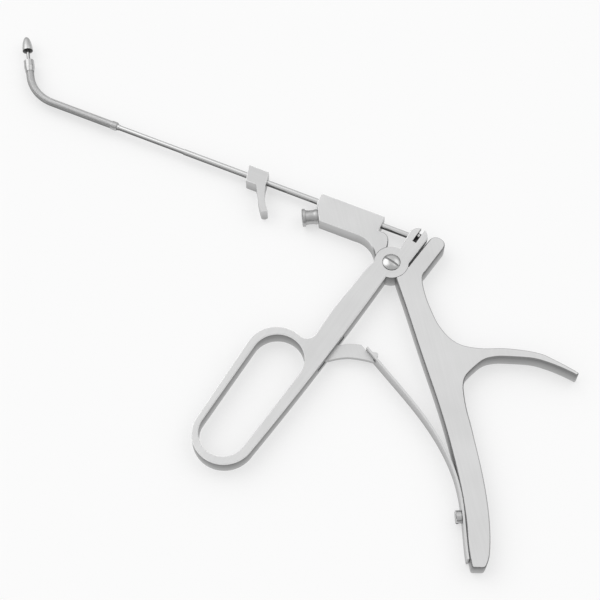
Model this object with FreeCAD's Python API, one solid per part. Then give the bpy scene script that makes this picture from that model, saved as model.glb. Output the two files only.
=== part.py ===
import FreeCAD, Part
import math
import os

# Sinus punch forceps, circular cutting, with an upturned egg-shaped head.
# Millimetres. X runs along the shaft, away from the head, Y towards the shaft's side of the
# pivot, Z through the plate. The origin is the pivot axis on the plane that it lies on.

V = FreeCAD.Vector
UP = V(0, 0, 1)

# Plate and lap joint
plate = 8.0                 # thickness of both handles and of the block
lapGap = 0.05               # between the two halves of the lap joint, each side
lapRadius = 7.3             # disc of either half
lapClearance = 0.15         # disc to recess
rimBevel = 0.4              # bevel of the handles' long edges

# Pivot screw
pivotShoulder = 2.5         # radius
pivotHead = 3.75            # radius
pivotHeadDepth = 1.0        # sunk into the lever
pivotDome = 1.1             # proud of the lever
pivotThread = 2.0           # radius of the part held by the rear handle
pivotSlotTurn = -13.0       # direction of the slot from X, degrees
runningFit = 0.04           # radial, pin or shaft in its hole
seatFit = 0.02              # radial, between pieces that stay together

# Shaft
shaftY = 16.6               # height of the shaft's axis over the pivot
tubeRadius = 1.35
tubeBore = 0.95
rodRadius = 0.75
bendX = -179.6              # where the straight shaft and the straight tip would cross
bendAngle = 58.0            # turn of the tip, degrees
bendRadius = 18.0           # of the inner rod and the coil
stroke = 5.28               # travel of the tube
tubeFront = -138.6
tubeRear = 1.6

# Coil, ferrule, cutting ring and head, placed by distance from the crossing point
coilRadius = 1.75
coilBore = 1.0
ferruleRadius = 1.95
ferruleLength = 3.0
ferruleOverCoil = 1.6
ringRear = 12.4
ringFront = 18.4
ringRadius = 2.35
ringEdgeBore = 1.85
ringTaper = 2.3
closedGap = 0.12            # from the cutting edge to the head's base when squeezed
headBase = ringFront + stroke + closedGap
headLength = 7.5
headRadius = 2.33
headHollow = 1.7
headWall = 0.35

# Block
blockFront = -40.2
blockRear = -10.7
blockTop = 19.3
blockBottom = 6.6
blockCorner = 1.0
facetTop = 14.1             # where the slanted facet leaves the front face
facetFoot = -36.1
neckTop = 12.0
anchorX = -22.0
anchorRadius = 0.6

# Cleaning port
luerAngle = 208.0
luerFlange = 3.9            # radius
luerFlangeThick = 1.3
luerBarrel = 3.3            # radius at its ends
luerWaist = 3.05            # radius at its middle
luerLength = 6.6            # from the facet to the mouth
luerBore = 2.15
luerDepth = 7.2
luerDrop = 0.6              # of its axis below the facet's middle
luerSpigot = 2.6            # radius of the part inside the block
luerSpigotLength = 2.6
luerChannel = 0.7

# Fork, tang and drive pin
pinX = 6.05
pinRadius = 0.75
slotWidth = 1.8
slotTilt = 79.8             # direction of the fork's slot from X, degrees
slotBelow = 3.9             # from the pin down to the slot's end
slitHeight = 3.0            # between the fork's cheeks
slitBottom = 13.2
armCorner = 3.8             # radius of the fork's top corners
tangThick = 2.7
tangRadius = 2.1

# Finger spur
spurThick = 7.5
spurX = -74.9
spurTopWidth = 9.5
spurTop = 20.0
spurBottom = 12.3
spurBevel = 0.3             # bevel of the block's edges
spurGroove = 0.35           # radius of each groove on the spur's right side
spurGrooves = 4
spurPitch = 1.15
spurUnderBevel = 0.9         # bevel of the spur's lower long edges
grubRadius = 1.0

# Leaf spring and link
leafThick = 0.9
leafWidth = 7.2
leafScrewHead = 2.75        # radius
leafScrewHeight = 2.6
leafScrewShank = 1.5
leafScrewAt = 18.4          # from the leaf's lower end, along it
linkThick = 2.0
linkSlotGap = 0.15
linkPin = V(-11.0, -47.0, 0)
linkPinRadius = 0.8
linkSawRadius = 9.5
windowHeight = 2.5          # through the plate's thickness
windowLength = 4.2

mid = plate / 2.0
turn = math.radians(bendAngle)
tipDir = V(-math.cos(turn), math.sin(turn), 0)
bendPoint = V(bendX, shaftY, mid)
bendTangent = bendRadius * math.tan(turn / 2.0)


def save(shape, name):
    shape = shape.removeSplitter()
    if len(shape.Solids) == 1:
        shape = shape.Solids[0]
    if not shape.isValid():
        print("not valid:", name)
    shape.exportStep("parts/" + name + ".step")
    print(name, len(shape.Solids), round(shape.Volume, 2))


def unit(angle):
    return V(math.cos(math.radians(angle)), math.sin(math.radians(angle)), 0)


def rod(radius, start, end):
    way = end - start
    return Part.makeCylinder(radius, way.Length, start, way)


def pipe(outer, inner, start, end):
    reach = (end - start).normalize()
    return rod(outer, start, end).cut(rod(inner, start - reach, end + reach))


def arcFrom(start, handle, end):
    """Arc from start to end that leaves start towards handle, or a line where it is straight."""
    chord = end - start
    middle = start + chord * 0.5
    rise = math.tan((handle - start).getAngle(chord) / 2.0) * chord.Length / 2.0
    if rise < 1e-4:
        return Part.makeLine(start, end)
    return Part.Arc(start, middle + (handle - middle).normalize() * rise, end).toShape()


def smoothArcs(points):
    """Arcs, each tangent to the next, through the points: two between neighbours."""
    ways = []
    for i in range(len(points)):
        before = points[max(i - 1, 0)]
        after = points[min(i + 1, len(points) - 1)]
        ways.append((after - before).normalize())
    ways[0] = bounce(ways[1], points[1] - points[0])
    ways[-1] = bounce(ways[-2], points[-1] - points[-2])
    edges = []
    for start, end, leave, arrive in zip(points, points[1:], ways, ways[1:]):
        way = end - start
        turned = 2.0 * (1.0 - leave.dot(arrive))
        along = way.dot(leave + arrive)
        reach = way.dot(way) / (along + math.sqrt(along * along + turned * way.dot(way)))
        first = start + leave * reach
        second = end - arrive * reach
        joint = (first + second) * 0.5
        edges.append(arcFrom(start, first, joint))
        edges.append(arcFrom(joint, second, end))
    return edges


def bounce(way, chord):
    """Direction at the far end of an arc over chord that has direction way at the near end."""
    across = chord.normalize()
    return across * (2.0 * way.dot(across)) - way


def outline(*parts):
    """Closed face from straight runs, arcs through a point and smooth curves."""
    here = parts[0]
    first = here
    edges = []
    for part in parts[1:]:
        kind = part[0]
        if kind == "line":
            edges.append(Part.makeLine(here, part[1]))
            here = part[1]
        elif kind == "arc":
            edges.append(Part.Arc(here, part[1], part[2]).toShape())
            here = part[2]
        else:
            edges.extend(smoothArcs([here] + part[1]))
            here = part[1][-1]
    if here.distanceToPoint(first) > 1e-6:
        edges.append(Part.makeLine(here, first))
    return Part.Face(Part.Wire(edges))


def slab(face, low, high):
    moved = face.copy()
    moved.translate(V(0, 0, low))
    return moved.extrude(V(0, 0, high - low))


def hull(centreA, radiusA, centreB, radiusB):
    """Face bounded by two circles and the two outer tangents that join them."""
    along = centreB - centreA
    base = math.atan2(along.y, along.x)
    spread = math.acos((radiusA - radiusB) / along.Length)
    def point(centre, radius, angle):
        return centre + V(radius * math.cos(angle), radius * math.sin(angle), 0)
    left = base + spread
    right = base - spread
    return outline(
        point(centreA, radiusA, left),
        ("line", point(centreB, radiusB, left)),
        ("arc", point(centreB, radiusB, base), point(centreB, radiusB, right)),
        ("line", point(centreA, radiusA, right)),
        ("arc", point(centreA, radiusA, base + math.pi), point(centreA, radiusA, left)))


def roundEdges(shape, radius, wanted):
    return shape.makeFillet(radius, [edge for edge in shape.Edges if wanted(edge)])


def roundCorners(shape, corners):
    """Round the upright edges that stand at the given points, each with its radius."""
    for place, radius in corners:
        def isHere(edge):
            box = edge.BoundBox
            return box.ZLength > 1 and math.hypot(box.XMin - place.x, box.YMin - place.y) < 0.05
        shape = roundEdges(shape, radius, isHere)
    return shape


def bevelEdges(shape, size, wanted):
    return shape.makeChamfer(size, [edge for edge in shape.Edges if wanted(edge)])


def isFlat(edge):
    return edge.BoundBox.ZLength < 1e-4


def lapDisc(low, high):
    return Part.makeCylinder(lapRadius, high - low, V(0, 0, low))


def lapRecess(low, high):
    return Part.makeCylinder(lapRadius + lapClearance, high - low, V(0, 0, low))


# Fixed handle
gripLeft = [V(12.6, -16.2, 0), V(25.1, -32.1, 0), V(45.5, -57.8, 0), V(60.5, -79.3, 0),
            V(68.2, -92.4, 0), V(74.0, -104.4, 0)]
gripToe = V(78.2, -111.4, 0)
gripHeel = V(82.9, -109.5, 0)
gripRight = [V(82.6, -103.5, 0), V(77.9, -90.9, 0), V(70.1, -76.2, 0), V(58.6, -58.3, 0),
             V(51.2, -47.2, 0)]
restUnder = [V(47.5, -38.6, 0), V(48.9, -32.4, 0), V(53.3, -25.4, 0), V(64.4, -20.3, 0),
             V(74.0, -17.9, 0), V(89.6, -18.5, 0)]
restOver = [V(89.9, -17.0, 0), V(80.0, -15.5, 0), V(72.0, -15.0, 0), V(60.0, -17.8, 0), V(46.4, -23.1, 0),
            V(38.0, -23.8, 0), V(29.7, -19.9, 0), V(21.9, -12.3, 0)]
webRight = [V(17.0, -5.9, 0), V(14.7, -1.2, 0), V(15.0, 1.6, 0)]
webTopRight = V(18.75, 17.85, 0)
webTopLeft = V(11.85, 19.5, 0)
gripCorners = [(gripToe, 1.0), (gripHeel, 1.6), (restUnder[-1], 0.6), (restOver[0], 0.6),
               (webTopRight, 3.2), (webTopLeft, 3.2)]


def grip():
    return outline(
        V(2.5, -3.5, 0),
        ("curve", [V(6.6, -8.8, 0)] + gripLeft + [gripToe]),
        ("line", gripHeel),
        ("curve", gripRight + restUnder),
        ("line", restOver[0]),
        ("curve", restOver[1:] + webRight),
        ("line", webTopRight),
        ("line", webTopLeft),
        ("line", V(7.4, 1.2, 0)),
        ("line", V(5.5, -0.5, 0)),
        ("line", V(2.5, -3.5, 0)))


def block():
    return outline(
        V(blockFront, blockTop - blockCorner, 0),
        ("arc", V(blockFront + 0.29 * blockCorner, blockTop - 0.29 * blockCorner, 0),
         V(blockFront + blockCorner, blockTop, 0)),
        ("line", V(blockRear, blockTop, 0)),
        ("line", V(blockRear, neckTop, 0)),
        ("line", V(-8.2, neckTop, 0)),
        ("curve", [V(-6.3, 11.1, 0), V(-4.95, 8.9, 0), V(-4.4, 6.3, 0), V(-4.3, 3.6, 0)]),
        ("line", V(-6.2, 0.0, 0)),
        ("line", V(-7.05, -1.4, 0)),
        ("arc", V(-10.6, 4.0, 0), V(-19.5, blockBottom, 0)),
        ("line", V(facetFoot, blockBottom, 0)),
        ("line", V(blockFront, facetTop, 0)))


def luerFrame():
    """Foot of the port on the slanted facet, and the way out of it."""
    foot = V((blockFront + facetFoot) / 2.0, (facetTop + blockBottom) / 2.0 - luerDrop, mid)
    return foot, unit(luerAngle)


def fixedHandle():
    rear = roundCorners(slab(grip(), 0.0, plate), gripCorners)
    rear = bevelEdges(rear, rimBevel, isFlat)
    front = bevelEdges(slab(block(), 0.0, plate), rimBevel, isFlat)
    body = rear.fuse(front).cut(lapRecess(mid - lapGap, plate + 1))
    body = body.fuse(lapDisc(0.0, mid - lapGap))
    body = body.cut(Part.makeCylinder(pivotThread + seatFit, plate, V(0, 0, -1)))
    reach = V(blockFront - 5, shaftY, mid)
    body = body.cut(rod(tubeRadius + runningFit, reach, V(blockRear + 5, shaftY, mid)))
    foot, out = luerFrame()
    body = body.cut(rod(luerSpigot + seatFit, foot - out * luerSpigotLength, foot + out * 3))
    across = (shaftY - foot.y) / -out.y
    body = body.cut(rod(luerChannel, foot, foot - out * across))
    body = body.cut(Part.makeCylinder(anchorRadius + seatFit, plate - 1.5, V(anchorX, shaftY, 0)))
    seat, outward = leafSeat()
    body = body.cut(rod(leafScrewShank + seatFit, seat + outward * 2, seat - outward * 6.5))
    return body


# Ring handle
ringHighCentre = V(-26.9, -59.9, 0)
ringHighRadius = 11.2
ringLowCentre = V(-34.3, -98.0, 0)
ringLowRadius = 10.2
ringHighWall = 2.2
ringLowWall = 3.15
ringOuterHigh = V(-28.0, -58.8, 0)
ringOuterHighRadius = ringHighRadius + ringHighWall
ringOuterLow = V(-33.8, -98.3, 0)
ringOuterLowRadius = ringLowRadius + ringLowWall
ringNotch = 4.6             # radius between the arm and the ring
ringArmAngle = math.radians(-14.0)      # where the arm's edge leaves the ring's lower arc
ringArmFoot = ringOuterLow + V(math.cos(ringArmAngle), math.sin(ringArmAngle), 0) * ringOuterLowRadius
slotDir = unit(slotTilt)
slotSide = unit(slotTilt - 90.0)
pinPoint = V(pinX, shaftY, 0)
slotEnd = pinPoint - slotDir * slotBelow


armTopLeft = V(2.15, 20.2, 0)
armTopRight = V(10.95, 20.2, 0)


def armFace():
    return outline(
        V(0.6, 3.0, 0),
        ("line", armTopLeft),
        ("line", armTopRight),
        ("line", V(6.5, 0.5, 0)),
        ("line", V(3.0, -2.0, 0)))


def leverArm():
    return outline(
        V(-5.6, 1.4, 0),
        ("curve", [V(-7.2, -2.7, 0), V(-8.9, -7.3, 0), V(-11.0, -15.5, 0), V(-14.4, -29.1, 0),
                   V(-16.7, -43.0, 0), V(-17.4, -52.0, 0)]),
        ("line", V(-15.0, -62.0, 0)),
        ("line", ringArmFoot),
        ("arc", V(-9.1, -52.9, 0), V(1.0, -4.0, 0)))


def ringHandle():
    outer = hull(ringOuterHigh, ringOuterHighRadius, ringOuterLow, ringOuterLowRadius)
    inner = hull(ringHighCentre, ringHighRadius, ringLowCentre, ringLowRadius)
    body = slab(outer, 0.0, plate).fuse(slab(leverArm(), 0.0, plate))
    body = body.cut(slab(inner, -1.0, plate + 1)).removeSplitter()
    body = roundEdges(body, ringNotch, isNotch)
    body = bevelEdges(body, rimBevel, isFlat)
    arm = roundCorners(slab(armFace(), 0.0, plate), [(armTopLeft, armCorner), (armTopRight, armCorner)])
    body = body.fuse(bevelEdges(arm, rimBevel, isFlat))
    body = body.fuse(lapDisc(mid + lapGap, plate))
    body = body.cut(lapRecess(-1.0, mid + lapGap))
    body = body.cut(Part.makeCylinder(pivotShoulder + runningFit, plate + 2, V(0, 0, -1)))
    head = Part.makeCylinder(pivotHead + lapClearance, plate, V(0, 0, plate - pivotHeadDepth - lapGap))
    body = body.cut(head)
    slot = Part.makeBox(slotWidth, 30, plate + 2, V(-slotWidth / 2.0, 0, -1))
    slot.rotate(V(0, 0, 0), UP, slotTilt - 90.0)
    slot.translate(slotEnd)
    body = body.cut(slot)
    slit = Part.makeBox(30, 20, slitHeight, V(-10, slitBottom, mid - slitHeight / 2.0))
    body = body.cut(slit)
    saw = Part.makeCylinder(linkSawRadius, linkThick + 2 * linkSlotGap,
                            linkPin + V(3.4, -0.6, mid - linkThick / 2.0 - linkSlotGap))
    body = body.cut(saw)
    return body.cut(Part.makeCylinder(linkPinRadius + seatFit, plate - 1.0, linkPin))


def isNotch(edge):
    box = edge.BoundBox
    upright = box.ZLength > plate - 0.1
    return upright and -24 < box.XMin < -14 and -56 < box.YMin < -40


def pivotScrew():
    headBase = plate - pivotHeadDepth
    body = Part.makeCylinder(pivotThread, mid - lapGap, V(0, 0, 0))
    body = body.fuse(Part.makeCylinder(pivotShoulder, headBase - mid + lapGap, V(0, 0, mid - lapGap)))
    edge = plate + 0.25
    cap = outline(
        V(0, headBase, 0),
        ("line", V(pivotHead, headBase, 0)),
        ("line", V(pivotHead, edge, 0)),
        ("arc", V(pivotHead * 0.72, plate + pivotDome * 0.78, 0), V(0, plate + pivotDome, 0)))
    cap.rotate(V(0, 0, 0), V(1, 0, 0), 90)
    body = body.fuse(cap.revolve(V(0, 0, 0), UP, 360))
    slot = Part.makeBox(20, 0.9, 4, V(-10, -0.45, plate - 0.35))
    slot.rotate(V(0, 0, 0), UP, pivotSlotTurn)
    return body.cut(slot)


# Shaft
def alongTip(distance):
    return bendPoint + tipDir * distance


def bentPath(rear, reach):
    """Wire along the shaft from x = rear, round the bend, to a distance along the tip."""
    start = bendPoint + V(bendTangent, 0, 0)
    end = alongTip(bendTangent)
    centre = start + V(0, bendRadius, 0)
    half = math.radians(-90) - turn / 2.0
    middle = centre + V(bendRadius * math.cos(half), bendRadius * math.sin(half), 0)
    edges = [Part.makeLine(V(rear, shaftY, mid), start),
             Part.Arc(start, middle, end).toShape(),
             Part.makeLine(end, alongTip(reach))]
    return Part.Wire(edges)


def bentRod(radius, rear, reach):
    section = Part.Wire(Part.makeCircle(radius, V(rear, shaftY, mid), V(-1, 0, 0)))
    return bentPath(rear, reach).makePipeShell([section], True, False)


def revolved(points, start, way):
    """Solid of revolution about way through start, from (distance, radius) pairs."""
    corners = [V(x, y, 0) for x, y in points]
    face = Part.Face(Part.makePolygon(corners + [corners[0]]))
    return onAxis(face.revolve(V(0, 0, 0), V(1, 0, 0), 360), start, way)


def onAxis(solid, start, way):
    solid = solid.copy()
    solid.Placement = FreeCAD.Placement(start, FreeCAD.Rotation(V(1, 0, 0), way))
    return solid


def driveTube():
    body = pipe(tubeRadius, tubeBore, V(tubeFront, shaftY, mid), V(tubeRear, shaftY, mid))
    room = anchorRadius + 0.2
    slot = Part.makeBox(stroke, 2 * room, plate, V(anchorX, shaftY - room, 0))
    ends = [Part.makeCylinder(room, plate, V(x, shaftY, 0)) for x in (anchorX, anchorX + stroke)]
    return body.cut(slot.fuse(ends))


def driveTang():
    low = mid - tangThick / 2.0
    plug = tubeBore - seatFit
    body = Part.makeBox(pinX - tubeRear, 2 * tangRadius, tangThick,
                        V(tubeRear, shaftY - tangRadius, low))
    body = body.fuse(Part.makeCylinder(tangRadius, tangThick, V(pinX, shaftY, low)))
    body = body.fuse(rod(plug, V(tubeRear - 5, shaftY, mid), V(tubeRear + 0.5, shaftY, mid)))
    return body.cut(Part.makeCylinder(pinRadius + seatFit, plate, V(pinX, shaftY, 0)))


def drivePin():
    pin = Part.makeCylinder(pinRadius, plate - 0.6, V(pinX, shaftY, 0.3))
    return pin.makeChamfer(0.2, [e for e in pin.Edges if e.Curve.TypeId == "Part::GeomCircle"])


def innerRod():
    body = bentRod(rodRadius, anchorX + 7, headBase + 2.4)
    return body.cut(Part.makeCylinder(anchorRadius + seatFit, plate, V(anchorX, shaftY, 0)))


def anchorPin():
    return Part.makeCylinder(anchorRadius, plate - 1.6, V(anchorX, shaftY, 0.05))


def ferrule():
    rear = tubeFront + ferruleLength - ferruleOverCoil
    shape = [(0, tubeRadius + seatFit), (0, ferruleRadius - 0.35), (0.5, ferruleRadius),
             (ferruleLength - 0.3, ferruleRadius), (ferruleLength, ferruleRadius - 0.1),
             (ferruleLength, coilRadius + seatFit),
             (ferruleLength - ferruleOverCoil, coilRadius + seatFit),
             (ferruleLength - ferruleOverCoil, tubeRadius + seatFit)]
    return revolved(shape, V(rear, shaftY, mid), V(-1, 0, 0))


def flexSheath():
    rear = tubeFront
    reach = ringRear + 1.3
    return bentRod(coilRadius, rear, reach).cut(bentRod(coilBore, rear + 1, reach + 1))


def cuttingRing():
    length = ringFront - ringRear
    seat = 1.3
    shape = [(0, coilRadius + seatFit), (0, coilRadius + 0.2), (ringTaper, ringRadius),
             (length - 0.3, ringRadius), (length, ringEdgeBore + 0.1), (length, ringEdgeBore),
             (seat + 0.9, ringEdgeBore), (seat + 0.6, coilBore), (seat, coilBore),
             (seat, coilRadius + seatFit)]
    return revolved(shape, alongTip(ringRear), tipDir)


def cuttingHead():
    outer = Part.BSplineCurve()
    shape = [(0, 0.98), (0.17, 1.0), (0.41, 0.925), (0.57, 0.83), (0.72, 0.71), (0.87, 0.53), (0.96, 0.3), (1, 0)]
    outer.interpolate([V(headLength * along, headRadius * out, 0) for along, out in shape])
    boss = rodRadius + 0.35
    bore = rodRadius + seatFit
    wall = headRadius - headWall
    depth = headHollow
    end = V(2.45, 0, 0)
    edges = [outer.toShape(), Part.makeLine(V(headLength, 0, 0), end),
             Part.makeLine(end, V(2.45, bore, 0)), Part.makeLine(V(2.45, bore, 0), V(0.4, bore, 0)),
             Part.makeLine(V(0.4, bore, 0), V(0.7, boss, 0)), Part.makeLine(V(0.7, boss, 0), V(depth, boss, 0)),
             Part.makeLine(V(depth, boss, 0), V(0.6, wall, 0)),
             Part.makeLine(V(0.6, wall, 0), V(0, headRadius - 0.12, 0)),
             Part.makeLine(V(0, headRadius - 0.12, 0), V(0, headRadius * 0.98, 0))]
    face = Part.Face(Part.Wire(edges))
    return onAxis(face.revolve(V(0, 0, 0), V(1, 0, 0), 360), alongTip(headBase), tipDir)


def luerHub():
    foot, out = luerFrame()
    shape = [(-luerSpigotLength, luerChannel), (-luerSpigotLength, luerSpigot), (0, luerSpigot),
             (0, luerBarrel), (0.8, luerBarrel), (1.7, luerWaist), (3.8, luerWaist),
             (luerLength - luerFlangeThick - 0.2, luerBarrel), (luerLength - luerFlangeThick, luerFlange),
             (luerLength - 0.2, luerFlange), (luerLength, luerFlange - 0.25),
             (luerLength, luerBore), (luerLength - luerDepth, luerBore),
             (luerLength - luerDepth - 0.8, luerChannel)]
    return revolved(shape, foot, out)


# Finger spur
spurTip = V(-58.2, 2.0, 0)
spurHeel = V(-60.8, 0.8, 0)
spurToothed = V(-61.2, 6.25, 0)         # first groove


def spurBlock():
    return outline(
        V(spurX, spurTop, 0),
        ("line", V(spurX + spurTopWidth, spurTop, 0)),
        ("line", V(-64.4, 14.7, 0)),
        ("line", V(-64.9, spurBottom, 0)),
        ("line", V(spurX + 1.9, spurBottom, 0)))


def spurHook():
    return outline(
        V(-64.4, 14.7, 0),
        ("curve", [V(-63.2, 10.2, 0), V(-61.4, 6.5, 0), spurTip]),
        ("line", spurHeel),
        ("curve", [V(-64.2, 5.5, 0), V(-66.3, 9.3, 0), V(-68.3, spurBottom, 0)]),
        ("line", V(-68.3, spurBottom + 1, 0)))


def fingerSpur():
    low = mid - spurThick / 2.0
    body = bevelEdges(slab(spurBlock(), low, low + spurThick), spurBevel, isFlat)
    hook = bevelEdges(slab(spurHook(), low, low + spurThick), spurUnderBevel, isSpurUnder)
    way = (spurTip - spurToothed).normalize()
    for step in range(spurGrooves):
        groove = spurToothed + way * (spurPitch * step)
        hook = hook.cut(Part.makeCylinder(spurGroove, plate, groove))
    body = body.fuse(hook)
    body = body.cut(rod(tubeRadius + seatFit, V(spurX - 5, shaftY, mid), V(spurX + 20, shaftY, mid)))
    centre = spurX + spurTopWidth / 2.0
    return body.cut(rod(grubRadius + seatFit, V(centre, shaftY, mid), V(centre, spurTop + 2, mid)))


def isSpurUnder(edge):
    box = edge.BoundBox
    return isFlat(edge) and box.ZMin < mid and box.YLength > 1.3 and box.YMax < spurBottom + 0.1


def spurScrew():
    centre = spurX + spurTopWidth / 2.0
    foot = V(centre, shaftY + tubeRadius + seatFit, mid)
    body = rod(grubRadius, foot, V(centre, spurTop - 0.3, mid))
    slot = Part.makeBox(3, 1, 0.4, V(centre - 1.5, spurTop - 0.9, mid - 0.2))
    return body.cut(slot)


# Leaf spring, its screw and the link
leafFoot = V(75.15, -108.8, 0)
leafPoints = [V(72.85, -104.5, 0), V(67.15, -92.7, 0), V(59.35, -79.6, 0), V(50.3, -69.7, 0),
              V(38.5, -60.4, 0), V(20.0, -49.3, 0), V(4.9, -40.6, 0)]
tongueAt = V(7.6, -42.0, 0)
leafTilt = -30.0            # direction of the leaf at its window, degrees


def leafLine():
    curve = Part.BSplineCurve()
    curve.interpolate([leafFoot] + leafPoints)
    return curve


def leafNormal(curve, where):
    """Unit vector from the leaf's line towards the rear grip."""
    along = curve.tangent(where)[0]
    return V(along.y, -along.x, 0)


def leafSeat():
    """Place of the screw on the leaf's outer face, and the way out of that face."""
    curve = leafLine()
    where = curve.parameterAtDistance(leafScrewAt, curve.FirstParameter)
    point = curve.value(where)
    return V(point.x, point.y, mid), leafNormal(curve, where) * -1.0


def leafSpring():
    curve = leafLine()
    steps = 12
    inner = []
    for i in range(steps + 1):
        where = curve.FirstParameter + (curve.LastParameter - curve.FirstParameter) * i / steps
        inner.append(curve.value(where) + leafNormal(curve, where) * leafThick)
    back = Part.BSplineCurve()
    back.interpolate(inner)
    edges = [curve.toShape(), Part.makeLine(curve.value(curve.LastParameter), inner[-1]),
             back.toShape(), Part.makeLine(inner[0], leafFoot)]
    flat = Part.Face(Part.Wire(Part.__sortEdges__(edges)))
    low = mid - leafWidth / 2.0
    body = slab(flat, low, low + leafWidth)
    seat, outward = leafSeat()
    body = body.cut(rod(leafScrewShank + 0.1, seat + outward * 3, seat - outward * 3))
    window = Part.makeBox(windowLength, 6, windowHeight,
                          V(-windowLength / 2.0, -3, mid - windowHeight / 2.0))
    window.rotate(V(0, 0, 0), UP, leafTilt)
    window.translate(tongueAt)
    return body.cut(window)


def springScrew():
    seat, outward = leafSeat()
    head = rod(leafScrewHead, seat + outward * 0.02, seat + outward * leafScrewHeight)
    head = head.makeChamfer(0.25, [e for e in head.Edges if e.Length > 10])
    body = head.fuse(rod(leafScrewShank, seat + outward * 0.5, seat - outward * 6.4))
    slot = Part.makeBox(1.4, 12, 0.9, V(leafScrewHeight - 1.0, -6, -0.45))
    slot = onAxis(slot, seat, outward)
    return body.cut(slot)


def springLink():
    face = outline(
        V(-11.6, -44.6, 0),
        ("curve", [V(-6.7, -43.0, 0), V(-2.4, -40.6, 0), V(4.0, -38.8, 0)]),
        ("line", V(6.1, -40.7, 0)),
        ("line", V(9.6, -39.9, 0)),
        ("arc", V(10.4, -40.9, 0), V(9.6, -42.0, 0)),
        ("line", V(8.5, -42.5, 0)),
        ("line", V(10.0, -44.3, 0)),
        ("curve", [V(4.0, -45.2, 0), V(-1.5, -46.9, 0), V(-6.9, -50.4, 0)]),
        ("arc", V(-13.3, -48.5, 0), V(-11.6, -44.6, 0)))
    low = mid - linkThick / 2.0
    body = slab(face, low, low + linkThick)
    body = body.cut(leafClearance())
    return body.cut(Part.makeCylinder(linkPinRadius + runningFit, plate, linkPin))


def leafClearance():
    """Room for the leaf beside the tongue, above and below the window."""
    room = 0.2
    block = Part.makeBox(40, leafThick + 2 * room, plate, V(-20, -room, 0))
    keep = Part.makeBox(windowLength - 0.5, 10, plate, V(-windowLength / 2.0 + 0.25, -5, 0))
    block = block.cut(keep)
    block.rotate(V(0, 0, 0), UP, leafTilt)
    block.translate(tongueAt)
    return block


def linkPinSolid():
    return Part.makeCylinder(linkPinRadius, plate - 1.1, linkPin + V(0, 0, 0.05))


os.makedirs("parts", exist_ok=True)
save(fixedHandle(), "fixed_handle")
save(ringHandle(), "ring_handle")
save(pivotScrew(), "pivot_screw")
save(driveTube(), "drive_tube")
save(driveTang(), "drive_tang")
save(drivePin(), "drive_pin")
save(fingerSpur(), "finger_spur")
save(spurScrew(), "spur_screw")
save(ferrule(), "sheath_ferrule")
save(flexSheath(), "flex_sheath")
save(cuttingRing(), "cutting_ring")
save(innerRod(), "inner_rod")
save(cuttingHead(), "cutting_head")
save(anchorPin(), "anchor_pin")
save(luerHub(), "luer_hub")
save(leafSpring(), "leaf_spring")
save(springScrew(), "spring_screw")
save(springLink(), "spring_link")
save(linkPinSolid(), "link_pin")
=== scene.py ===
import math

import bmesh
import bpy
import numpy as np
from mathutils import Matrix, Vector


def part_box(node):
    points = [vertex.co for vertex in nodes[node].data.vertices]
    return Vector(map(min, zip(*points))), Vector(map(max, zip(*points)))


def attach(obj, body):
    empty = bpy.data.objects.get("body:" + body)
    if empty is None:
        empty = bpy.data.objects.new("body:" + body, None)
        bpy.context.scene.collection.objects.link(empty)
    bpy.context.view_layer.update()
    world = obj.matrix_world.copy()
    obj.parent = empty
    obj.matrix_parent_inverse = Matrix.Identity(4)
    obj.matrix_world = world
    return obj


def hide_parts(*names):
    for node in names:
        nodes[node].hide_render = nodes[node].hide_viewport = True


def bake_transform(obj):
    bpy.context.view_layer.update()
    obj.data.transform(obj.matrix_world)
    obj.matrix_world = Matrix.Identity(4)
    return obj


# Sinus punch forceps on a white table. Metres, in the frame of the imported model:
# X along the shaft away from the head, Y from the pivot to the shaft, Z up.

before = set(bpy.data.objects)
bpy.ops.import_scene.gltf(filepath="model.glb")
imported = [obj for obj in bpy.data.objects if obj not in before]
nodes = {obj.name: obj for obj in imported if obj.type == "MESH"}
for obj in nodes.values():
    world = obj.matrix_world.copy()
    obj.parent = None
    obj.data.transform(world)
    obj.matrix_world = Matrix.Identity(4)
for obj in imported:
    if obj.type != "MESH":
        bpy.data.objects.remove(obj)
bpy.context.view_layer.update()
tubeLow, tubeHigh = (np.array(corner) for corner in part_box("drive_tube"))
tubeMiddle = (tubeLow + tubeHigh) / 2
tubeRadius = (tubeHigh[2] - tubeLow[2]) / 2
print("frame loaded:", len(nodes), "nodes")


# Shader helpers

class Wire:
    # a node's output socket; arithmetic on it adds Math nodes to the same tree
    def __init__(self, tree, socket):
        self.tree = tree
        self.socket = socket

    def sum(self, kind, first, second=0.0, clamp=False):
        node = self.tree.nodes.new("ShaderNodeMath")
        node.operation = kind
        node.use_clamp = clamp
        for slot, item in zip(node.inputs, (first, second)):
            if isinstance(item, Wire):
                self.tree.links.new(item.socket, slot)
            else:
                slot.default_value = item
        return Wire(self.tree, node.outputs[0])

    def __add__(self, other):
        return self.sum("ADD", self, other)

    def __sub__(self, other):
        return self.sum("SUBTRACT", self, other)

    def __rsub__(self, other):
        return self.sum("SUBTRACT", other, self)

    def __mul__(self, other):
        return self.sum("MULTIPLY", self, other)

    __radd__ = __add__
    __rmul__ = __mul__

    def clamped(self):
        return self.sum("ADD", self, 0.0, clamp=True)

    def step(self, low, high):
        # 0 below low, 1 above high, straight between
        return ((self - low) * (1.0 / (high - low))).clamped()

    def size(self):
        return self.sum("ABSOLUTE", self)


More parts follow.
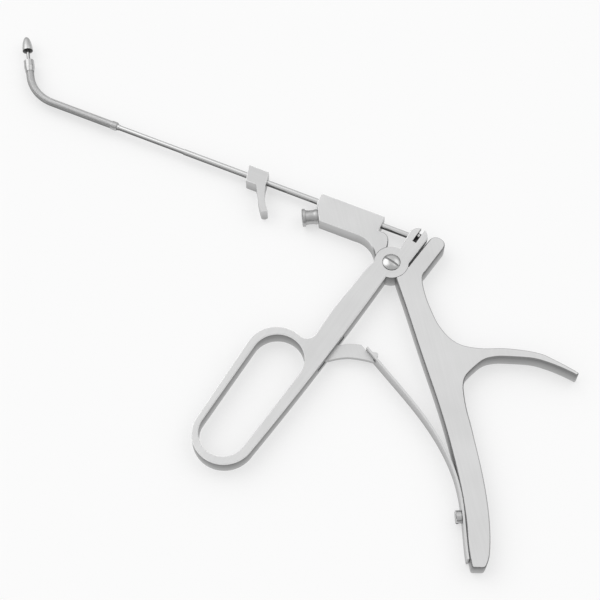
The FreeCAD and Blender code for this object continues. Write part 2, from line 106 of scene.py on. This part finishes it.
class Graph:
    # an emptied node tree and the method that adds its nodes
    def __init__(self, tree):
        self.tree = tree
        self.tree.nodes.clear()

    def put(self, slot, value):
        if isinstance(value, Wire):
            self.tree.links.new(value.socket, slot)
        else:
            slot.default_value = value

    def add(self, kind, settings=None, inputs=None, out=0):
        node = self.tree.nodes.new("ShaderNode" + kind)
        for key, value in (settings or {}).items():
            setattr(node, key, value)
        for key, value in (inputs or {}).items():
            self.put(node.inputs[key], value)
        return Wire(self.tree, node.outputs[out])


class Finish(Graph):
    # one material with a Principled shader
    def __init__(self, name, **constants):
        self.material = bpy.data.materials.new(name)
        self.material.use_nodes = True
        super().__init__(self.material.node_tree)
        self.output = self.tree.nodes.new("ShaderNodeOutputMaterial")
        self.shader = self.tree.nodes.new("ShaderNodeBsdfPrincipled")
        self.surface = Wire(self.tree, self.shader.outputs["BSDF"])
        self.put(self.output.inputs["Surface"], self.surface)
        for key, value in constants.items():
            self.feed(key, value)

    def feed(self, key, value):
        self.put(self.shader.inputs[key], value)

    def place(self, stretch=(1.0, 1.0, 1.0), turn=0.0):
        # object coordinates, stretched and turned about Z
        where = self.add("TexCoord", out="Object")
        return self.add("Mapping", {"vector_type": "TEXTURE"},
                        {"Vector": where, "Rotation": (0.0, 0.0, turn), "Scale": stretch})

    def axis(self, letter):
        return self.add("SeparateXYZ", None, {"Vector": self.add("TexCoord", out="Object")}, letter)

    def noise(self, where, scale, detail=3.0, rough=0.55):
        return self.add("TexNoise", {"noise_dimensions": "3D"},
                        {"Vector": where, "Scale": scale, "Detail": detail, "Roughness": rough}, "Fac")

    def blendColour(self, share, first, second):
        return self.add("Mix", {"data_type": "RGBA"}, {0: share, 6: first, 7: second}, 2)

    def paleToCamera(self, share):
        # what the camera and the metal see of it is that share plain white, the rest keeps the shadows
        seen = self.add("LightPath", out="Is Camera Ray") + self.add("LightPath", out="Is Glossy Ray")
        white = self.add("Emission")
        inputs = {"Fac": seen.clamped() * share, 1: self.surface, 2: white}
        self.put(self.output.inputs["Surface"], self.add("MixShader", None, inputs))

    def bump(self, height, strength, distance):
        inputs = {"Height": height, "Strength": strength, "Distance": distance}
        return self.add("Bump", None, inputs, "Normal")


def grey(level):
    return (level, level, level, 1.0)


# Finishes

grindDepth = 0.00002        # depth of the finest marks that grinding and blasting leave

satin = {
    "light": 0.69, "dark": 0.54, "grainShare": 0.3, "cloudShare": 0.8, "streakShare": 0.4,
    "grain": 0.00010, "grainLength": 0.010, "streak": 0.0011, "streakLength": 0.030,
    "cloud": 1.0 / 0.028, "fine": 9000.0, "line": 0.0005, "lineLength": 0.012, "lineShare": 0.5,
    "thick": 0.008, "shadedWallTop": 0.16, "shadedWallFoot": 0.54, "blockTop": 0.58, "litWallFoot": 0.40,
    "bevelShade": 0.40, "bevelHighlight": 0.95, "bevelHighlightDiffuse": 0.8, "bevelRough": 0.1,
    "rough": 0.36, "sideRough": 0.40, "roughGrain": 0.12, "roughCloud": 0.08, "bump": 0.06,
    "edge": 0.001,
}


def satinSteel(name, turn, shine, highlightBelow, litWallsBelow):
    # ground faces: fine grain and broad streaks along the piece, soft clouds. The milled edges carry painted
    # shade, darker towards the top, or painted light, paler towards it, where x is under the second limit.
    # The bevels carry a painted highlight where x is under the first limit, and painted shade elsewhere
    finish = Finish(name)
    grain = finish.noise(finish.place((satin["grainLength"], satin["grain"], satin["grain"]), turn), 1.0, 3.0)
    streak = finish.noise(finish.place((satin["streakLength"], satin["streak"], 1.0), turn), 1.0, 2.0)
    cloud = finish.noise(finish.place(), satin["cloud"], 2.0)
    fine = finish.noise(finish.place(), satin["fine"], 2.0)
    lines = finish.noise(finish.place((satin["lineLength"], satin["lineLength"], satin["line"])), 1.0, 3.0)
    normal = finish.add("NewGeometry", out="Normal")
    upright = finish.add("SeparateXYZ", None, {"Vector": normal}, "Z").size()
    face = upright.step(0.2, 0.6)
    bevel = upright.step(0.45, 0.6) * (1.0 - upright.step(0.85, 0.95))
    bright = 1.0 - finish.axis("X").step(highlightBelow - satin["edge"], highlightBelow + satin["edge"])
    litWallShare = 1.0 - finish.axis("X").step(litWallsBelow - satin["edge"], litWallsBelow + satin["edge"])

    shade = (grain - 0.5) * satin["grainShare"] + (cloud - 0.5) * satin["cloudShare"]
    shade = shade + (streak - 0.5) * satin["streakShare"] + 0.5
    flat = finish.blendColour(shade.clamped(), grey(satin["dark"] * shine), grey(satin["light"] * shine))
    height = finish.axis("Z") * (1.0 / satin["thick"]) + (lines - 0.5) * satin["lineShare"]
    # painted shade on the milled walls, darker towards the top, with random lines; on the block painted light
    # instead, paler towards the top
    darker = finish.blendColour(height.clamped(), grey(satin["shadedWallFoot"]), grey(satin["shadedWallTop"]))
    litWallTone = finish.blendColour(height.clamped(), grey(satin["litWallFoot"]), grey(satin["blockTop"]))
    side = finish.blendColour(litWallShare, darker, litWallTone)
    # painted highlight on the bevels where bright is 1, painted shade on the other bevels
    bevelLightTone = finish.blendColour(bright, grey(satin["bevelShade"]), grey(satin["bevelHighlight"]))
    finish.feed("Base Color", finish.blendColour(bevel, finish.blendColour(face, side, flat), bevelLightTone))

    # the highlighted bevels are made less metallic so that they stay pale: part of the painted highlight
    finish.feed("Metallic", 1.0 - bevel * bright * satin["bevelHighlightDiffuse"])
    rough = (grain - 0.5) * satin["roughGrain"] + (cloud - 0.5) * satin["roughCloud"] + satin["sideRough"]
    rough = rough + face * (satin["rough"] - satin["sideRough"])
    finish.feed("Roughness", rough - bevel * satin["bevelRough"])
    finish.feed("Normal", finish.bump(grain * 0.7 + fine * 0.3, satin["bump"], grindDepth))
    return finish.material


shaft = {"shadeLow": 0.24, "shadeHigh": 0.72, "shadeLevel": 0.08}


def underside(finish, radius):
    # 1 on the lower part of a round piece on the shaft's height, 0 on its upper part; it places the painted
    # shade below
    rise = (finish.axis("Z") - float(tubeMiddle[2])) * (1.0 / radius)
    return 1.0 - rise.step(shaft["shadeLow"], shaft["shadeHigh"])


polish = {"fine": 6000.0, "cloud": 160.0, "worn": 0.94, "roughFine": 0.06, "roughCloud": 0.08, "bump": 0.04}


def polishedSteel(name, rough, colour, radius=None):
    # turned and polished, with faint clouds and a fine grain; painted shade on the lower side where it has
    # the shaft's radius
    finish = Finish(name, Metallic=1.0)
    fine = finish.noise(finish.place(), polish["fine"])
    cloud = finish.noise(finish.place(), polish["cloud"])
    body = finish.blendColour(cloud, grey(colour * polish["worn"]), grey(colour))
    if radius:
        # painted shade: the lower side darkened to the shaft's shade level
        body = finish.blendColour(underside(finish, radius), body, grey(shaft["shadeLevel"]))
    finish.feed("Base Color", body)
    varied = (cloud - 0.5) * polish["roughCloud"] + (fine - 0.5) * polish["roughFine"]
    finish.feed("Roughness", varied + rough)
    finish.feed("Normal", finish.bump(fine, polish["bump"], grindDepth))
    return finish.material


head = {
    "colour": 0.56, "worn": 0.9, "bright": 1.05, "rough": 0.36, "roughFine": 0.1, "fine": 7000.0,
    "cloud": 260.0, "bump": 0.08, "hollowShade": 0.05, "hollowRough": 0.2, "tip": (-0.52992, 0.84805, 0.0),
    "facesBack": -0.75, "facesSide": -0.35,
}


def headSteel(name):
    # blasted outside; painted shade, near black, in the hollow that faces the cutting edge
    finish = Finish(name, Metallic=1.0)
    normal = finish.add("NewGeometry", out="Normal")
    facing = finish.add("VectorMath", {"operation": "DOT_PRODUCT"}, {0: normal, 1: head["tip"]}, "Value")
    hollowShade = 1.0 - facing.step(head["facesBack"], head["facesSide"])
    fine = finish.noise(finish.place(), head["fine"])
    cloud = finish.noise(finish.place(), head["cloud"])
    worn, bright = grey(head["colour"] * head["worn"]), grey(head["colour"] * head["bright"])
    outside = finish.blendColour(cloud, worn, bright)
    # painted shade: the hollow near black
    finish.feed("Base Color", finish.blendColour(hollowShade, outside, grey(head["hollowShade"])))
    rough = (fine - 0.5) * head["roughFine"] + head["rough"]
    finish.feed("Roughness", rough + hollowShade * head["hollowRough"])
    finish.feed("Normal", finish.bump(fine, head["bump"], grindDepth))
    return finish.material


coil = {
    "wire": 0.00052, "radius": 0.00175, "bendX": -0.1796, "bendRadius": 0.018,
    "turn": math.radians(58.0), "reach": 0.0137, "perTurn": 10, "around": 44,
    "follows": (-0.16296, 0.01591, 0.004), "leads": (-0.18530, 0.02777, 0.004),
    "grooveShade": 0.27, "wireLevel": 0.66, "undersideShade": 0.20, "rough": 0.34, "roughFine": 0.12,
    "fine": 5000.0, "bump": 0.05,
}


def coilWire(name):
    # drawn wire, with painted shade between the turns and on its lower side
    finish = Finish(name, Metallic=1.0)
    fine = finish.noise(finish.place(), coil["fine"])
    groove = finish.add("Attribute", {"attribute_name": "depth"}, out="Fac")
    # painted shade in the grooves between the turns
    body = finish.blendColour(groove, grey(coil["grooveShade"]), grey(coil["wireLevel"]))
    # painted shade on the lower side of the coil
    shadedBelow = underside(finish, coil["radius"])
    finish.feed("Base Color", finish.blendColour(shadedBelow, body, grey(coil["undersideShade"])))
    finish.feed("Roughness", (fine - 0.5) * coil["roughFine"] + coil["rough"])
    finish.feed("Normal", finish.bump(fine, coil["bump"], grindDepth))
    return finish.material


blockRear = -0.0095         # the block and its neck lie in front of this x
everywhere, nowhere = 1.0, -1.0

finishes = {
    "handle": satinSteel("satinHandle", math.radians(-55), 1.0, blockRear, blockRear),
    "lever": satinSteel("satinLever", math.radians(80), 1.0, everywhere, nowhere),
    "block": satinSteel("satinBlock", 0.0, 0.90, everywhere, everywhere),
    "tube": polishedSteel("polishedTube", 0.12, 0.74, float(tubeRadius)),
    "screw": polishedSteel("polishedScrew", 0.20, 0.58),
    "hub": polishedSteel("satinHub", 0.40, 0.50),
    "collar": polishedSteel("satinCollar", 0.28, 0.52),
    "head": headSteel("satinHead"),
    # painted shade: the tang is near black to stand for the shade in the slot that holds it
    "shaded": polishedSteel("shadedSteel", 0.45, 0.10),
    "spring": satinSteel("springSteel", math.radians(-50), 0.97, everywhere, everywhere),
    "wire": coilWire("coilWire"),
}

wears = {
    "fixed_handle": "handle", "ring_handle": "lever", "pivot_screw": "screw", "drive_tube": "tube",
    "drive_tang": "shaded", "drive_pin": "screw", "finger_spur": "block", "spur_screw": "screw",
    "sheath_ferrule": "hub", "flex_sheath": "wire", "cutting_ring": "collar", "inner_rod": "tube",
    "cutting_head": "head", "anchor_pin": "screw", "luer_hub": "hub", "leaf_spring": "spring",
    "spring_screw": "screw", "spring_link": "spring", "link_pin": "screw",
}
for name, finish in wears.items():
    nodes[name].data.materials.clear()
    nodes[name].data.materials.append(finishes[finish])
print("finishes assigned")


# Pieces

def standing(name, mesh):
    piece = bpy.data.objects.new(name, mesh)
    bpy.context.scene.collection.objects.link(piece)
    return piece


def smooth(mesh):
    mesh.polygons.foreach_set("use_smooth", np.ones(len(mesh.polygons), bool))


def gridMesh(name, points, closedAround, depth=None):
    # points[i, j] is row i of the length and column j around; quads join the neighbours
    rows, columns = points.shape[:2]
    along = np.arange(rows - 1)[:, None]
    around = np.arange(columns if closedAround else columns - 1)[None, :]
    nextAround = (around + 1) % columns
    faces = np.stack([along * columns + around, along * columns + nextAround,
                      (along + 1) * columns + nextAround, (along + 1) * columns + around], axis=-1)
    mesh = bpy.data.meshes.new(name)
    mesh.from_pydata(points.reshape(-1, 3).tolist(), [], faces.reshape(-1, 4).tolist())
    if depth is not None:
        layer = mesh.attributes.new("depth", "FLOAT", "POINT")
        layer.data.foreach_set("value", depth.reshape(-1).astype(np.float32))
    smooth(mesh)
    return standing(name, mesh)


def shaftLine(distances, straight):
    # centre line from the tube's front end: a straight run, an arc of the bend's radius and turn, and
    # a straight run again; and at each point the direction to the inside of the bend
    turn, bend = coil["turn"], coil["bendRadius"]
    angle = np.clip((distances - straight) / bend, 0.0, turn)
    first = np.minimum(distances, straight)
    last = np.maximum(distances - straight - bend * turn, 0.0)
    x = tubeLow[0] - first - bend * np.sin(angle) - last * math.cos(turn)
    y = tubeMiddle[1] + bend * (1 - np.cos(angle)) + last * math.sin(turn)
    centre = np.stack([x, y, np.full_like(x, tubeMiddle[2])], axis=-1)
    inward = np.stack([np.sin(angle), np.cos(angle), np.zeros_like(angle)], axis=-1)
    return centre, inward


def buildCoil():
    # tube around the shaft line whose radius follows round wire wound in a helix: the distance from
    # the wire's own centre line, taken over one pitch, gives the height of each turn
    tangentLength = coil["bendRadius"] * math.tan(coil["turn"] / 2)
    straight = tubeLow[0] - (coil["bendX"] + tangentLength)
    total = straight + coil["bendRadius"] * coil["turn"] + coil["reach"] - tangentLength
    turns = round(total / coil["wire"])
    distances = np.linspace(0.0, total, turns * coil["perTurn"] + 1)
    angles = np.linspace(0.0, 2 * math.pi, coil["around"], endpoint=False)
    centre, inward = shaftLine(distances, straight)
    phase = distances[:, None] / coil["wire"] - angles[None, :] / (2 * math.pi)
    offset = (phase - np.round(phase)) * 2.0
    bulge = np.sqrt(np.clip(1.0 - offset ** 2, 0.0, 1.0))
    radius = coil["radius"] - coil["wire"] / 2 * (1.0 - bulge)
    up = np.array([0.0, 0.0, 1.0])
    spokes = inward[:, None, :] * np.cos(angles)[None, :, None] + up * np.sin(angles)[None, :, None]
    outside = centre[:, None, :] + spokes * radius[:, :, None]
    piece = gridMesh("coilTurns", outside[::-1], True, bulge[::-1])
    piece.data.materials.append(finishes["wire"])
    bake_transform(piece)
    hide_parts("flex_sheath")


tube = {"step": -0.1047, "rise": 0.0001, "front": 0.00117, "bore": 0.00095, "sleeve": 0.0022,
        "sharp": math.radians(30)}


def buildTube():
    # the tube's own mesh, cut across at the step and inside the ferrule; between the two cuts the
    # outside's distance from the shaft is set to the thinner radius
    rear, front = tube["step"], tubeLow[0] + tube["sleeve"]
    form = bmesh.new()
    form.from_mesh(nodes["drive_tube"].data)
    for place in (rear + tube["rise"], rear, front + tube["rise"], front):
        geometry = form.verts[:] + form.edges[:] + form.faces[:]
        bmesh.ops.bisect_plane(form, geom=geometry, dist=1e-7, plane_co=(place, 0, 0), plane_no=(1, 0, 0))
    mesh = bpy.data.meshes.new("tubeWall")
    form.to_mesh(mesh)
    form.free()

    points = np.empty(len(mesh.vertices) * 3)
    mesh.vertices.foreach_get("co", points)
    points = points.reshape(-1, 3)
    across = points[:, 1:] - tubeMiddle[1:]
    distance = np.linalg.norm(across, axis=1)
    thinned = (points[:, 0] < rear + tube["rise"] / 2) & (points[:, 0] > front + tube["rise"] / 2)
    thinned &= distance > (tube["bore"] + tubeRadius) / 2
    scale = np.where(thinned, tube["front"] / np.maximum(distance, tube["rise"]), 1.0)
    points[:, 1:] = tubeMiddle[1:] + across * scale[:, None]
    mesh.vertices.foreach_set("co", points.reshape(-1))

    if "custom_normal" in mesh.attributes:
        mesh.attributes.remove(mesh.attributes["custom_normal"])
    smooth(mesh)
    mesh.set_sharp_from_angle(angle=tube["sharp"])
    mesh.materials.clear()
    mesh.materials.append(finishes["tube"])
    piece = standing("tubeWall", mesh)
    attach(piece, "tube")
    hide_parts("drive_tube")


def buildLeaf():
    # a copy of the leaf's own mesh, standing in its place
    piece = standing("leafBlade", nodes["leaf_spring"].data.copy())
    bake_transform(piece)
    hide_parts("leaf_spring")


buildCoil()
buildTube()
buildLeaf()
print("coil, tube and leaf built")


# Table, light and camera

view = {"from": (0.0856, -0.3010, 0.636), "at": (-0.0288, -0.0315, 0.008), "lens": 99.0, "sensor": 36.0,
        "near": 0.01, "far": 20.0}


def buildCamera():
    lens = bpy.data.cameras.new("camera")
    lens.lens = view["lens"]
    lens.sensor_width = view["sensor"]
    lens.clip_start, lens.clip_end = view["near"], view["far"]
    camera = standing("camera", lens)
    camera.location = view["from"]
    way = Vector(view["at"]) - Vector(view["from"])
    camera.rotation_euler = way.to_track_quat("-Z", "Y").to_euler()
    bpy.context.scene.camera = camera


table = {"size": 3.0, "spots": 9, "colour": 0.96, "mottle": 0.006, "below": 0.00002, "plain": 0.54,
         "rough": 0.9, "cloud": 90.0}


def buildTable():
    # flat grid just under the rest face
    spots = np.linspace(-table["size"], table["size"], table["spots"])
    across, along = np.meshgrid(spots, spots, indexing="ij")
    points = np.stack([across, along, np.full_like(across, -table["below"])], axis=-1)
    top = gridMesh("table", points, False)
    paper = Finish("tablePaper", Metallic=0.0, Roughness=table["rough"])
    cloud = paper.noise(paper.place(), table["cloud"])
    darker = grey(table["colour"] - table["mottle"])
    paper.feed("Base Color", paper.blendColour(cloud, darker, grey(table["colour"])))
    paper.paleToCamera(table["plain"])
    top.data.materials.append(paper.material)


# the room's light: a pale tent, brighter overhead, with two soft boxes left and right of the camera.
# right and away are the picture's own directions on the table
right, away, up = Vector((0.9205, 0.3907, 0.0)), Vector((-0.3907, 0.9205, 0.0)), Vector((0.0, 0.0, 1.0))
boxes = {
    "left": {"right": -0.62, "away": 0.42, "up": 0.80, "level": 1.3, "core": 0.965, "edge": 0.80},
    "second": {"right": 0.52, "away": 0.26, "up": 0.80, "level": 0.7, "core": 0.972, "edge": 0.86},
}
room = {"near": 0.02, "far": 0.30, "turnsPale": 0.7, "overhead": 0.80, "full": 0.45}


def buildRoom():
    # level of a direction: from near to far by its share of away, plus overhead from the height full up,
    # plus each box's level times a smooth step of the cosine between the direction and the box's axis.
    # The camera itself sees plain white
    world = bpy.data.worlds.new("room")
    world.use_nodes = True
    graph = Graph(world.node_tree)
    where = graph.add("TexCoord", out="Generated")

    def along(way):
        return graph.add("VectorMath", {"operation": "DOT_PRODUCT"}, {0: where, 1: way}, "Value")

    share = along(away).step(-room["turnsPale"], room["turnsPale"])
    level = share * (room["far"] - room["near"]) + room["near"]
    level = level + along(up).step(0.0, room["full"]) * room["overhead"]
    for box in boxes.values():
        axis = (right * box["right"] + away * box["away"] + up * box["up"]).normalized()
        share = along(axis).step(box["edge"], box["core"])
        level = level + share * share * (share * -2.0 + 3.0) * box["level"]
    sky = graph.add("Background", None, {"Strength": level})
    plain = graph.add("Background", None, {"Color": grey(1.0)})
    camera = graph.add("LightPath", out="Is Camera Ray")
    output = graph.tree.nodes.new("ShaderNodeOutputWorld")
    graph.put(output.inputs["Surface"], graph.add("MixShader", None, {"Fac": camera, 1: sky, 2: plain}))
    bpy.context.scene.world = world


buildCamera()
buildTable()
buildRoom()
bpy.context.scene.view_settings.view_transform = "Standard"

bpy.context.view_layer.update()
print("scene ready")
